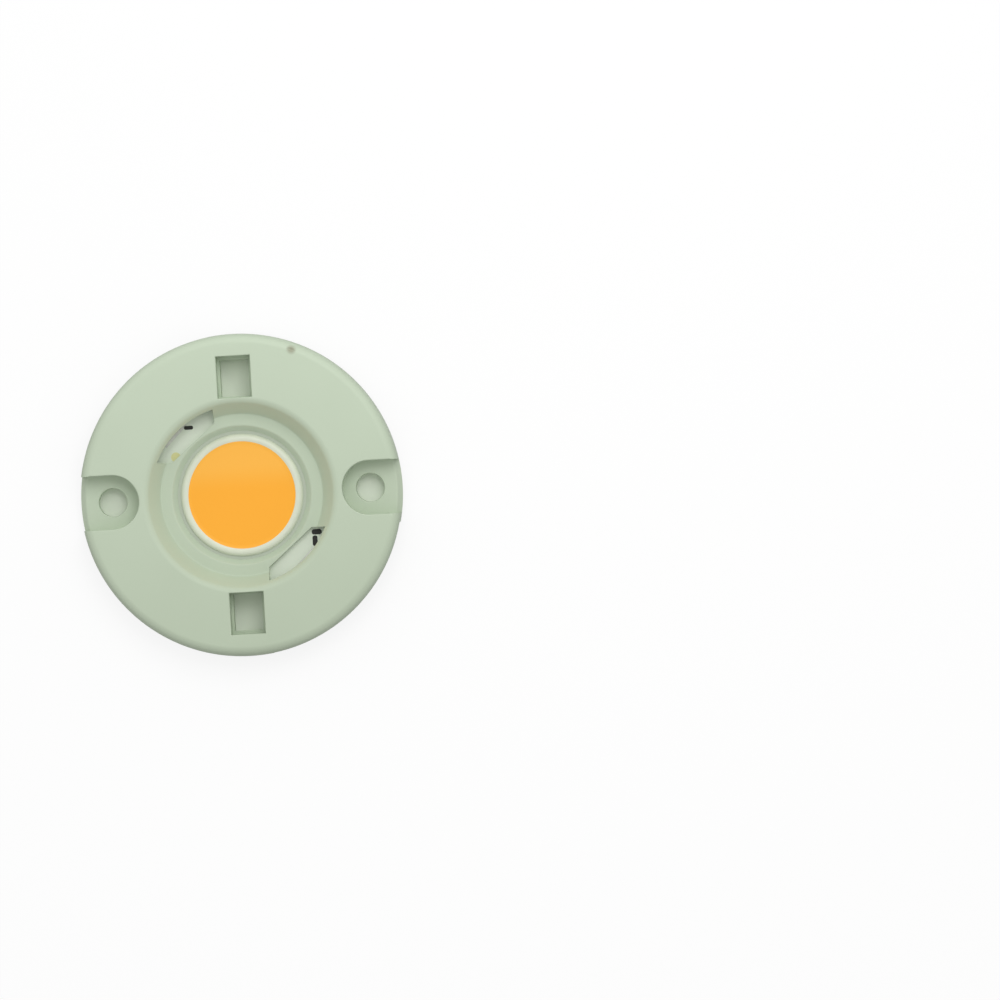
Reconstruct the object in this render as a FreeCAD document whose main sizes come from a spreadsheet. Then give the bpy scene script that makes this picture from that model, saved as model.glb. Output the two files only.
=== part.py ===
import FreeCAD, Part
import math
import os
import re

import Sketcher

# COB LED module: a square ceramic board with a round phosphor field, held by a round moulded disc.
# The module lies on its mounting face, light towards +Z. The X axis runs through both screw holes
# and the Y axis through both snap windows. All sizes are in millimetres.

STRING_COUNT = 7
DIE_COUNT = 7

SIZES = [
    # Moulded holder
    ("holder_diameter", 50.0, "round holder, over its rim"),
    ("holder_height", 5.5, "mounting face to front face"),
    ("rim_front_bevel", 0.9, "bevel between front face and rim"),
    ("rim_back_bevel", 1.2, "bevel between the mounting side and rim"),
    ("opening_diameter", 20.0, "light opening at the board"),
    ("ledge_inner_diameter", 21.6, "inner edge of the optic ledge"),
    ("ledge_outer_diameter", 25.2, "foot of the cone on the optic ledge"),
    ("ledge_height", 2.1, "optic ledge above the mounting face"),
    ("cone_diameter", 29.2, "mouth of the cone at the front face, before it is bevelled"),
    ("cone_bevel", 0.7, "bevel between cone and front face, along each of them"),
    # Screw pockets and holes
    ("screw_pitch", 40.0, "distance between both screw holes"),
    ("screw_hole_diameter", 4.4, "clearance hole for an M4 screw"),
    ("screw_hole_chamfer", 0.2, "chamfer of the hole at the mounting face"),
    ("screw_pocket_radius", 4.2, "round end of the open pocket"),
    ("screw_floor", 2.3, "thickness of the pocket's floor"),
    ("screw_floor_bevel", 0.8, "bevel between the pocket's floor and the rim"),
    # Snap windows
    ("window_front_width", 5.3, "window at the front face, across"),
    ("window_front_inner", 15.1, "window at the front face, edge nearest the centre"),
    ("window_front_outer", 21.6, "window at the front face, edge nearest the rim"),
    ("window_back_width", 4.5, "window at the mounting face, across"),
    ("window_back_outer", 21.0, "window at the mounting face, edge nearest the rim"),
    ("window_step_height", 2.4, "height of the step inside the window"),
    # Underside
    ("board_clearance", 0.5, "play on each side of the board in its recess"),
    ("room_height", 3.0, "ceiling of the wire rooms above the mounting face"),
    ("room_start_across", 3.6, "wire room's wall beside the snap window"),
    ("room_start_along", 5.6, "wire room's wall beside the screw pocket"),
    ("room_chord", 11.05, "distance of the room's slanted inner wall from the centre"),
    ("room_slant", 50.0, "direction of that wall's normal, in degrees from the X axis"),
    ("gate_height", 4.4, "raised ceiling of the wire room where it opens into the cone"),
    ("gate_chord", 14.8, "distance of the raised ceiling's outer wall from the centre"),
    ("relief_offset", 11.7, "centre of the round corner relief, along X and Y"),
    ("relief_radius", 4.35, "radius of the round corner relief"),
    ("relief_height", 1.6, "ceiling of the round corner relief"),
    # Board and its layers
    ("board_width", 28.0, "side of the square ceramic board"),
    ("board_thickness", 1.0, "ceramic board"),
    ("board_corner", 0.4, "chamfer of the board's corners"),
    ("overcoat_thickness", 0.06, "printed overcoat on the board's front"),
    ("overcoat_margin", 0.3, "bare edge of the board round the overcoat"),
    ("track_thickness", 0.03, "printed conductor"),
    ("track_inner_radius", 7.7, "inner edge of the conductor's arc"),
    ("track_outer_radius", 8.9, "outer edge of the conductor's arc"),
    ("track_sweep", 150.0, "angle that the conductor's arc spans, in degrees"),
    ("lead_width", 1.8, "lead from the arc to the solder pad"),
    ("pad_start", 13.4, "solder pad's near edge, from the centre"),
    ("pad_shoulder", 16.4, "where the pad's sides turn to follow the board's corner"),
    ("pad_end", 17.6, "solder pad's far edge, from the centre"),
    ("pad_width", 5.2, "solder pad, across"),
    ("pad_tip_width", 2.8, "solder pad's far edge, across"),
    ("pad_cover", 0.2, "how far the overcoat laps over the pad's edge"),
    ("pad_turn", 45.0, "direction of the solder pads, in degrees from the X axis"),
    ("tc_diameter", 1.5, "gilt measuring dot"),
    ("tc_across", 9.95, "measuring dot from the Y axis"),
    ("tc_along", 6.45, "measuring dot from the X axis"),
    # Dam and phosphor
    ("dam_diameter", 19.0, "dam ring, outside at its foot"),
    ("dam_width", 1.5, "dam ring, width at its foot"),
    ("dam_height", 0.65, "dam ring above the board"),
    ("dam_crest_width", 0.7, "dam ring, width at its crest"),
    ("fill_height", 0.45, "phosphor above the board"),
    ("meniscus_height", 0.1, "rise of the phosphor where it wets the dam"),
    ("meniscus_width", 0.6, "width of that rise"),
    # Dies and bond wires
    ("die_width", 0.8, "side of a square die"),
    ("die_height", 0.12, "thickness of a die"),
    ("die_field_radius", 7.2, "circle that holds the dies"),
    ("string_pitch", 2.1, "distance between strings"),
    ("wire_width", 0.04, "bond wire"),
    ("wire_seat", 0.12, "length of wire on a die or a conductor"),
    ("wire_lead_out", 0.05, "how far a wire runs level past the last die"),
]

ALIASES = {alias for alias, value, note in SIZES}
doc = FreeCAD.newDocument("cob_led")
sheet = doc.addObject("Spreadsheet::Sheet", "sizes")
for row, (alias, value, note) in enumerate(SIZES, start=1):
    sheet.set(f"A{row}", note)
    sheet.set(f"B{row}", str(value))
    sheet.setAlias(f"B{row}", alias)
doc.recompute()


def bound(formula):
    """A formula in plain size names, as an expression that reads the sheet."""
    return re.sub(
        r"[a-z_]+",
        lambda word: f"sizes.{word.group()}" if word.group() in ALIASES else word.group(),
        str(formula),
    )


def value_of(formula):
    """The present value of a formula in plain size names."""
    return float(sheet.evalExpression(bound(formula)))


def bind(thing, **formulas):
    """Bind properties of a document object to formulas."""
    for name, formula in formulas.items():
        thing.setExpression(name, bound(formula))


def new_body(name):
    body = doc.addObject("PartDesign::Body", name)
    body.Label = name
    body.AllowCompound = True
    return body


def new_sketch(body, name, plane="XY_Plane", height=0, turn=0):
    """A sketch on one of the body's own origin planes, lifted and turned about the plane's normal."""
    sketch = body.newObject("Sketcher::SketchObject", name)
    origin = next(item for item in body.Origin.OriginFeatures if item.Role == plane)
    sketch.AttachmentSupport = (origin, [""])
    sketch.MapMode = "FlatFace"
    turned = FreeCAD.Rotation(FreeCAD.Vector(0, 0, 1), value_of(turn))
    sketch.AttachmentOffset = FreeCAD.Placement(FreeCAD.Vector(0, 0, value_of(height)), turned)
    if height:
        sketch.setExpression("AttachmentOffset.Base.z", bound(height))
    if turn:
        sketch.setExpression("AttachmentOffset.Rotation.Angle", bound(turn))
    return sketch


def hold_point(sketch, shape, point, across, along):
    """Dimension a point of a sketch from the sketch's origin."""
    for kind, formula in (("DistanceX", across), ("DistanceY", along)):
        place = Sketcher.Constraint(kind, -1, 1, shape, point, value_of(formula))
        index = sketch.addConstraint(place)
        sketch.setExpression(f"Constraints[{index}]", bound(formula))


def draw_polygon(sketch, corners):
    """A closed outline whose corners are each dimensioned from the origin."""
    places = [FreeCAD.Vector(value_of(x), value_of(y), 0) for x, y in corners]
    first = sketch.GeometryCount
    for here, there in zip(places, places[1:] + places[:1]):
        sketch.addGeometry(Part.LineSegment(here, there))
    for step in range(len(corners)):
        following = first + (step + 1) % len(corners)
        sketch.addConstraint(Sketcher.Constraint("Coincident", first + step, 2, following, 1))
    for step, (across, along) in enumerate(corners):
        hold_point(sketch, first + step, 1, across, along)


def draw_box(sketch, left, bottom, right, top):
    draw_polygon(sketch, [(left, bottom), (right, bottom), (right, top), (left, top)])


def draw_circle(sketch, across, along, radius):
    centre = FreeCAD.Vector(value_of(across), value_of(along), 0)
    up = FreeCAD.Vector(0, 0, 1)
    index = sketch.addGeometry(Part.Circle(centre, up, value_of(radius)))
    hold_point(sketch, index, 3, across, along)
    size = sketch.addConstraint(Sketcher.Constraint("Radius", index, value_of(radius)))
    sketch.setExpression(f"Constraints[{size}]", bound(radius))


def draw_open_slot(sketch, centre, radius, end):
    """A half circle on the X axis with two straight sides that run outward to the given distance."""
    x, r, far = value_of(centre), value_of(radius), value_of(end)
    circle = Part.Circle(FreeCAD.Vector(x, 0, 0), FreeCAD.Vector(0, 0, 1), r)
    arc = sketch.addGeometry(Part.ArcOfCircle(circle, math.pi / 2, 3 * math.pi / 2))
    corners = [(x, -r), (far, -r), (far, r), (x, r)]
    places = [FreeCAD.Vector(a, b, 0) for a, b in corners]
    sides = [sketch.addGeometry(Part.LineSegment(a, b)) for a, b in zip(places, places[1:])]
    chain = [(arc, 2, sides[0], 1), (sides[0], 2, sides[1], 1)]
    chain += [(sides[1], 2, sides[2], 1), (sides[2], 2, arc, 1)]
    for link in chain:
        sketch.addConstraint(Sketcher.Constraint("Coincident", *link))
    for side, direction in zip(sides, ("Horizontal", "Vertical", "Horizontal")):
        sketch.addConstraint(Sketcher.Constraint(direction, side))
    for end_of_arc in (1, 2):
        sketch.addConstraint(Sketcher.Constraint("Vertical", arc, 3, arc, end_of_arc))
    hold_point(sketch, arc, 3, centre, 0)
    size = sketch.addConstraint(Sketcher.Constraint("Radius", arc, r))
    sketch.setExpression(f"Constraints[{size}]", bound(radius))
    reach = sketch.addConstraint(Sketcher.Constraint("DistanceX", -1, 1, sides[1], 1, far))
    sketch.setExpression(f"Constraints[{reach}]", bound(end))


def pad(body, sketch, name, length, midplane=False):
    feature = body.newObject("PartDesign::Pad", name)
    feature.Profile = sketch
    feature.Midplane = midplane
    bind(feature, Length=length)
    return feature


def pocket(body, sketch, name, depth, upward):
    """Cut a sketch into the body, up from the mounting face or down from the front face."""
    feature = body.newObject("PartDesign::Pocket", name)
    feature.Profile = sketch
    feature.Reversed = upward
    bind(feature, Length=depth)
    return feature


def revolve(body, sketch, name, angle=360):
    feature = body.newObject("PartDesign::Revolution", name)
    feature.Profile = sketch
    feature.ReferenceAxis = (sketch, ["V_Axis"])
    feature.Midplane = True
    bind(feature, Angle=angle)
    return feature


def circle_edges(shape, radius, height):
    """Names of the shape's round edges of one radius at one height."""
    found = []
    for index, edge in enumerate(shape.Edges, start=1):
        if not isinstance(edge.Curve, Part.Circle):
            continue
        same_height = abs(edge.Curve.Center.z - height) < 1e-6
        if same_height and abs(edge.Curve.Radius - radius) < 1e-6:
            found.append(f"Edge{index}")
    return found


def bevel_edges(body, name, base, radius, height, size):
    """Chamfer the round edges of one radius at one height."""
    doc.recompute()
    feature = body.newObject("PartDesign::Chamfer", name)
    feature.Base = (base, circle_edges(base.Shape, value_of(radius), value_of(height)))
    bind(feature, Size=size)
    return feature


def slanted_wall(chord):
    """Both ends of a slanted wall of the wire room, where it meets the room's straight walls."""
    across, along = "cos(room_slant * 1deg)", "sin(room_slant * 1deg)"
    return [
        (f"({chord} - room_start_along * {along}) / {across}", "-room_start_along"),
        ("room_start_across", f"-({chord} - room_start_across * {across}) / {along}"),
    ]


def make_holder():
    """The moulded disc: a revolved section, then every pocket on one side, repeated half a turn on."""
    body = new_body("holder")
    section = new_sketch(body, "holder_section", "XZ_Plane")
    draw_polygon(section, [
        ("opening_diameter / 2", "0"),
        ("holder_diameter / 2 - rim_back_bevel", "0"),
        ("holder_diameter / 2", "rim_back_bevel"),
        ("holder_diameter / 2", "holder_height - rim_front_bevel"),
        ("holder_diameter / 2 - rim_front_bevel", "holder_height"),
        ("cone_diameter / 2", "holder_height"),
        ("ledge_outer_diameter / 2", "ledge_height"),
        ("ledge_inner_diameter / 2", "ledge_height"),
        ("opening_diameter / 2", "board_thickness + overcoat_thickness"),
    ])
    disc = revolve(body, section, "holder_disc")
    bevel_edges(body, "cone_mouth", disc, "cone_diameter / 2", "holder_height", "cone_bevel")

    recess = new_sketch(body, "board_recess_outline")
    half = "(board_width / 2 + board_clearance)"
    draw_box(recess, f"-{half}", f"-{half}", half, half)
    pocket(body, recess, "board_recess", "board_thickness + overcoat_thickness", upward=True)

    past_rim = "holder_diameter / 2 + 1"
    room = new_sketch(body, "wire_room_outline")
    draw_polygon(room, [
        ("room_start_across", f"-({past_rim})"),
        (past_rim, f"-({past_rim})"),
        (past_rim, "-room_start_along"),
        *slanted_wall("room_chord"),
    ])
    cuts = [pocket(body, room, "wire_room", "room_height", upward=True)]

    gate = new_sketch(body, "wire_gate_outline")
    draw_polygon(gate, [*slanted_wall("room_chord"), *reversed(slanted_wall("gate_chord"))])
    cuts.append(pocket(body, gate, "wire_gate", "gate_height", upward=True))

    relief = new_sketch(body, "corner_relief_outline")
    draw_circle(relief, "relief_offset", "relief_offset", "relief_radius")
    cuts.append(pocket(body, relief, "corner_relief", "relief_height", upward=True))

    seat = new_sketch(body, "screw_pocket_outline", height="holder_height")
    draw_open_slot(seat, "screw_pitch / 2", "screw_pocket_radius", past_rim)
    cuts.append(pocket(body, seat, "screw_pocket", "holder_height - screw_floor", upward=False))

    hole = new_sketch(body, "screw_hole_outline")
    draw_circle(hole, "screw_pitch / 2", "0", "screw_hole_diameter / 2")
    cuts.append(pocket(body, hole, "screw_hole", "holder_height", upward=True))

    front = new_sketch(body, "window_front_outline", height="holder_height")
    draw_box(front, "-window_front_width / 2", "window_front_inner",
             "window_front_width / 2", "window_front_outer")
    cuts.append(pocket(body, front, "window_front", "holder_height - window_step_height", upward=False))

    back = new_sketch(body, "window_back_outline")
    draw_box(back, "-window_back_width / 2", "window_front_inner",
             "window_back_width / 2", "window_back_outer")
    cuts.append(pocket(body, back, "window_back", "holder_height", upward=True))

    twice = body.newObject("PartDesign::PolarPattern", "both_sides")
    twice.Originals = cuts
    twice.Axis = (section, ["V_Axis"])
    twice.Angle = 360
    twice.Occurrences = 2
    body.Tip = twice
    holes = bevel_edges(body, "screw_hole_edges", twice,
                        "screw_hole_diameter / 2", "0", "screw_hole_chamfer")
    beside_hole = "(holder_diameter / 2 - screw_pitch / 2 - screw_hole_diameter / 2) * 0.9"
    floors = bevel_edges(body, "screw_floor_rim", holes, "holder_diameter / 2", "screw_floor",
                         f"min(screw_floor_bevel; (screw_floor - rim_back_bevel) * 0.9; {beside_hole})")
    bevel_edges(body, "wire_room_rim", floors, "holder_diameter / 2", "room_height",
                "min(rim_back_bevel; (holder_height - room_height - rim_front_bevel) * 0.9)")
    return body


def make_board():
    """The square ceramic board with chamfered corners."""
    body = new_body("ceramic_board")
    outline = new_sketch(body, "board_outline")
    half = "board_width / 2"
    short = "(board_width / 2 - board_corner)"
    draw_polygon(outline, [
        (f"-{short}", f"-{half}"), (short, f"-{half}"), (half, f"-{short}"), (half, short),
        (short, half), (f"-{short}", half), (f"-{half}", short), (f"-{half}", f"-{short}"),
    ])
    pad(body, outline, "board_plate", "board_thickness")
    return body


def pad_corners(lap):
    """Outline of a solder pad that points along +X, drawn in by the given lap."""
    half = f"(pad_width / 2 - {lap})"
    tip = f"(pad_tip_width / 2 - {lap})"
    return [
        (f"pad_start + {lap}", f"-{half}"),
        ("pad_shoulder", f"-{half}"),
        (f"pad_end - {lap}", f"-{tip}"),
        (f"pad_end - {lap}", tip),
        ("pad_shoulder", half),
        (f"pad_start + {lap}", half),
    ]


def make_track(name, turn):
    """A conductor on the board: an arc under the dam, a lead and a solder pad, turned into place."""
    body = new_body(name)
    section = new_sketch(body, f"{name}_section", "XZ_Plane")
    draw_box(section, "track_inner_radius", "board_thickness",
             "track_outer_radius", "board_thickness + track_thickness")
    revolve(body, section, f"{name}_arc", "track_sweep")
    outline = new_sketch(body, f"{name}_lead_outline", height="board_thickness")
    arc_middle = "(track_inner_radius + track_outer_radius) / 2"
    draw_polygon(outline, [
        (arc_middle, "-lead_width / 2"), ("pad_start", "-lead_width / 2"),
        *pad_corners(0),
        ("pad_start", "lead_width / 2"), (arc_middle, "lead_width / 2"),
    ])
    pad(body, outline, f"{name}_lead", "track_thickness")
    turn_about_axis(body, turn)
    return body


def turn_about_axis(thing, turn):
    """Turn an object about the light axis by a formula in degrees."""
    thing.Placement = FreeCAD.Placement(
        FreeCAD.Vector(0, 0, 0), FreeCAD.Rotation(FreeCAD.Vector(0, 0, 1), value_of(turn)))
    thing.setExpression("Placement.Rotation.Angle", bound(turn))


def make_overcoat(tracks):
    """The printed overcoat: open inside the dam, at both solder pads and at the measuring dot."""
    body = new_body("overcoat_print")
    outline = new_sketch(body, "overcoat_outline", height="board_thickness")
    half = "(board_width / 2 - overcoat_margin)"
    draw_box(outline, f"-{half}", f"-{half}", half, half)
    draw_circle(outline, "0", "0", "dam_diameter / 2")
    draw_circle(outline, "-tc_across", "tc_along", "tc_diameter / 2")
    pad(body, outline, "overcoat_layer", "overcoat_thickness")
    for name, turn in (("anode_window", "-pad_turn"), ("cathode_window", "180 - pad_turn")):
        window = new_sketch(body, f"{name}_outline", height="board_thickness", turn=turn)
        draw_polygon(window, pad_corners("pad_cover"))
        pocket(body, window, name, "overcoat_thickness", upward=True)
    return cut_away("glass_overcoat", body, tracks)


def make_measuring_dot():
    body = new_body("tc_point")
    outline = new_sketch(body, "tc_point_outline", height="board_thickness")
    draw_circle(outline, "-tc_across", "tc_along", "tc_diameter / 2")
    pad(body, outline, "tc_point_film", "overcoat_thickness")
    return body


def cut_away(name, base, tools):
    """What is left of one object where others lie."""
    group = doc.addObject("Part::Compound", f"{name}_neighbours")
    group.Links = tools
    rest = doc.addObject("Part::Cut", name)
    rest.Label = name
    rest.Base = base
    rest.Tool = group
    return rest


def make_dam(tracks):
    """The dam: a bead with steep flanks, laid over the conductors."""
    body = new_body("dam_bead")
    section = new_sketch(body, "dam_section", "XZ_Plane")
    middle = "(dam_diameter - dam_width) / 2"
    draw_polygon(section, [
        (f"{middle} - dam_width / 2", "board_thickness"),
        (f"{middle} + dam_width / 2", "board_thickness"),
        (f"{middle} + dam_crest_width / 2", "board_thickness + dam_height"),
        (f"{middle} - dam_crest_width / 2", "board_thickness + dam_height"),
    ])
    revolve(body, section, "dam_ring_bead")
    return cut_away("dam_ring", body, tracks)


def string_offset(string):
    """Distance of a string from the middle of the die field, as a formula."""
    return f"({string - (STRING_COUNT + 1) / 2} * string_pitch)"


def first_die(string):
    """Distance of a string's outermost die's centre from the field's middle line, as a formula."""
    offset = string_offset(string)
    return f"(sqrt(die_field_radius ^ 2 - {offset} ^ 2) - die_width / 2)"


def repeat_along(body, feature, sketch, name, length, count):
    row = body.newObject("PartDesign::LinearPattern", name)
    row.Originals = [feature]
    row.Direction = (sketch, ["H_Axis"])
    row.Occurrences = count
    bind(row, Length=length)
    body.Tip = row


def make_die_string(string, turn):
    """One string: a row of equal dies on the board."""
    name = f"die_string_{string:02d}"
    body = new_body(name)
    start = first_die(string)
    offset = string_offset(string)
    outline = new_sketch(body, f"{name}_outline", height="board_thickness")
    draw_box(outline, f"-{start} - die_width / 2", f"{offset} - die_width / 2",
             f"-{start} + die_width / 2", f"{offset} + die_width / 2")
    die = pad(body, outline, f"{name}_die", "die_height")
    repeat_along(body, die, outline, f"{name}_row", f"2 * {start}", DIE_COUNT)
    turn_about_axis(body, turn)
    return body


def make_bond_wires(string, turn):
    """The wires of one string: from die to die, and from both end dies down to the conductors."""
    name = f"bond_wires_{string:02d}"
    body = new_body(name)
    start = first_die(string)
    offset = string_offset(string)
    pitch = f"(2 * {start} / {DIE_COUNT - 1})"
    die_top = "(board_thickness + die_height)"
    track_top = "(board_thickness + track_thickness)"

    bridge = new_sketch(body, f"{name}_bridge_outline", "XZ_Plane", height=f"-{offset}")
    draw_box(bridge, f"-{start} + wire_seat", die_top,
             f"-{start} + {pitch} - wire_seat", f"{die_top} + wire_width")
    span = pad(body, bridge, f"{name}_bridge", "wire_width", midplane=True)
    repeat_along(body, span, bridge, f"{name}_bridges",
                 f"{pitch} * {DIE_COUNT - 2}", DIE_COUNT - 1)

    ends = new_sketch(body, f"{name}_end_outline", "XZ_Plane", height=f"-{offset}")
    landing = f"(sqrt(track_inner_radius ^ 2 - {offset} ^ 2) + wire_seat)"
    edge = f"({start} + die_width / 2 + wire_lead_out)"
    down = [
        (start, die_top),
        (edge, die_top),
        (landing, track_top),
        (f"{landing} + wire_seat", track_top),
        (f"{landing} + wire_seat", f"{track_top} + wire_width"),
        (f"{landing} + wire_width", f"{track_top} + wire_width"),
        (f"{edge} + wire_width", f"{die_top} + wire_width"),
        (start, f"{die_top} + wire_width"),
    ]
    draw_polygon(ends, down)
    draw_polygon(ends, [(f"-({across})", along) for across, along in down])
    pad(body, ends, f"{name}_ends", "wire_width", midplane=True)
    turn_about_axis(body, turn)
    return body


def make_phosphor(neighbours):
    """The phosphor silicone: poured into the dam, over dies, wires and conductors."""
    body = new_body("phosphor_pour")
    section = new_sketch(body, "phosphor_section", "XZ_Plane")
    crest = "dam_diameter / 2 - dam_width / 2"
    level = "board_thickness + fill_height"
    draw_polygon(section, [
        ("0", "board_thickness"),
        (crest, "board_thickness"),
        (crest, f"{level} + meniscus_height"),
        (f"{crest} - dam_width / 4", f"{level} + meniscus_height"),
        (f"{crest} - dam_width / 4 - meniscus_width", level),
        ("0", level),
    ])
    revolve(body, section, "phosphor_disc")
    return cut_away("phosphor_fill", body, neighbours)


def check_model(sub_parts):
    """Stop if any object failed or any sub-part has no sound solid."""
    failed = [item.Name for item in doc.Objects if {"Invalid", "Error"} & set(item.State)]
    if failed:
        raise RuntimeError(f"these objects failed: {', '.join(failed)}")
    for item in sub_parts:
        shape = item.Shape
        if shape.isNull() or not shape.isValid() or not shape.Solids:
            raise RuntimeError(f"{item.Label} has no sound solid")


anode_turn = "-pad_turn"
cathode_turn = "180 - pad_turn"
anode = make_track("anode_track", anode_turn)
cathode = make_track("cathode_track", cathode_turn)
strings = [make_die_string(number, anode_turn) for number in range(1, STRING_COUNT + 1)]
wires = [make_bond_wires(number, anode_turn) for number in range(1, STRING_COUNT + 1)]
dam = make_dam([anode, cathode])
parts = [make_holder(), make_board(), anode, cathode, make_overcoat([anode, cathode]),
         make_measuring_dot(), dam, make_phosphor([dam, anode, cathode, *strings, *wires]),
         *strings, *wires]
doc.recompute()
check_model(parts)
os.makedirs("parts", exist_ok=True)
for part in parts:
    part.Shape.exportStep(f"parts/{part.Label}.step")
    print(f"{part.Label}: {len(part.Shape.Solids)} solids, {part.Shape.Volume:.3f} cubic mm")
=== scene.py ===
import math

import bmesh
import bpy
from bpy.props import FloatProperty, FloatVectorProperty, IntProperty, PointerProperty
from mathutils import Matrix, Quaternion, Vector


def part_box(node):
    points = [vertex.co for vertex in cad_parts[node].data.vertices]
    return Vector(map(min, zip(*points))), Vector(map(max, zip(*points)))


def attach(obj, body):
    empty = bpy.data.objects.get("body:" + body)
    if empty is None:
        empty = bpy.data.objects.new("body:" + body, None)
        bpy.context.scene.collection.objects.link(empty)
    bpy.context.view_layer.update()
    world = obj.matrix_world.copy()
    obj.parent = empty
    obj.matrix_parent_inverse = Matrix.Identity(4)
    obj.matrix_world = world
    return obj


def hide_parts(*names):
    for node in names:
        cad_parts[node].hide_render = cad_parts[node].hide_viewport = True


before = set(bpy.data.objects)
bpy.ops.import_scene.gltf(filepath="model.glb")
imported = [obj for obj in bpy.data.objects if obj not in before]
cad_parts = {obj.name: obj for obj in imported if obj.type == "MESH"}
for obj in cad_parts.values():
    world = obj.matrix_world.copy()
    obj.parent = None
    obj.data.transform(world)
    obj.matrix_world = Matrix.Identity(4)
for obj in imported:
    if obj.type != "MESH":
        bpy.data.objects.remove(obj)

bl_info = {
    "name": "COB LED module",
    "version": (1, 0, 0),
    "blender": (4, 5, 0),
    "location": "3D View > Sidebar > LED",
    "description": "Models and finishes a round LED module with a moulded holder",
    "category": "Object",
}

# Metres everywhere. The module lies on its mounting face at z = 0 and gives light towards +Z.
# The X axis runs through both screw holes, the Y axis through both snap windows.
MM = 0.001
# Points nearer than this are one point, and a cutter reaches this far past what it cuts.
CLOSE = 0.0005 * MM
OVERSHOOT = 1.0 * MM
# Upward part of its normal from which a face counts as level, and the steps of a rounded edge.
LEVEL = 0.9999
QUARTER_TURN = [math.radians(angle) for angle in (0, 30, 60, 90)]
# Thickness of the printed conductors, on which the dam lies.
TRACK = 0.03 * MM
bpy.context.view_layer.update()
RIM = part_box("holder")[1].x
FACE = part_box("holder")[1].z
BOARD_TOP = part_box("ceramic_board")[1].z
COAT_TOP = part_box("glass_overcoat")[1].z
DAM_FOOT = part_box("dam_ring")[1].x
DAM_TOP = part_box("dam_ring")[1].z
WIRE_TOP = max(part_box(name)[1].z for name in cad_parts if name.startswith("bond_wires"))
PHOSPHOR_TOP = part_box("phosphor_fill")[1].z


def linear(code):
    """A colour written as sRGB hex, as the linear values that a shader takes."""
    parts = [int(code[place:place + 2], 16) / 255 for place in (1, 3, 5)]
    return [part / 12.92 if part <= 0.04045 else ((part + 0.055) / 1.055) ** 2.4 for part in parts]


def length(name, description, millimetres):
    """A property that holds a length."""
    return FloatProperty(name=name, description=description, default=millimetres * MM,
                         min=0, unit="LENGTH", precision=5)


def offset(name, description, millimetres):
    """A property that holds a distance along an axis, either way."""
    return FloatProperty(name=name, description=description, default=millimetres * MM,
                         unit="LENGTH", precision=5)


def angle(name, description, degrees):
    """A property that holds an angle."""
    return FloatProperty(name=name, description=description, default=math.radians(degrees),
                         subtype="ANGLE")


def fraction(name, description, value):
    """A property that holds a number from 0 to 1."""
    return FloatProperty(name=name, description=description, default=value, min=0, max=1)


def dash(name, description, *millimetres):
    """A property that holds a printed dash: its middle along X and Y, and its two sides."""
    return FloatVectorProperty(name=name, description=description, size=4, unit="LENGTH",
                               default=[value * MM for value in millimetres], precision=5)


def colour(name, description, code):
    """A property that holds the colour of a finish."""
    return FloatVectorProperty(name=name, description=description, default=linear(code),
                               min=0, max=1, size=3, subtype="COLOR")


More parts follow.
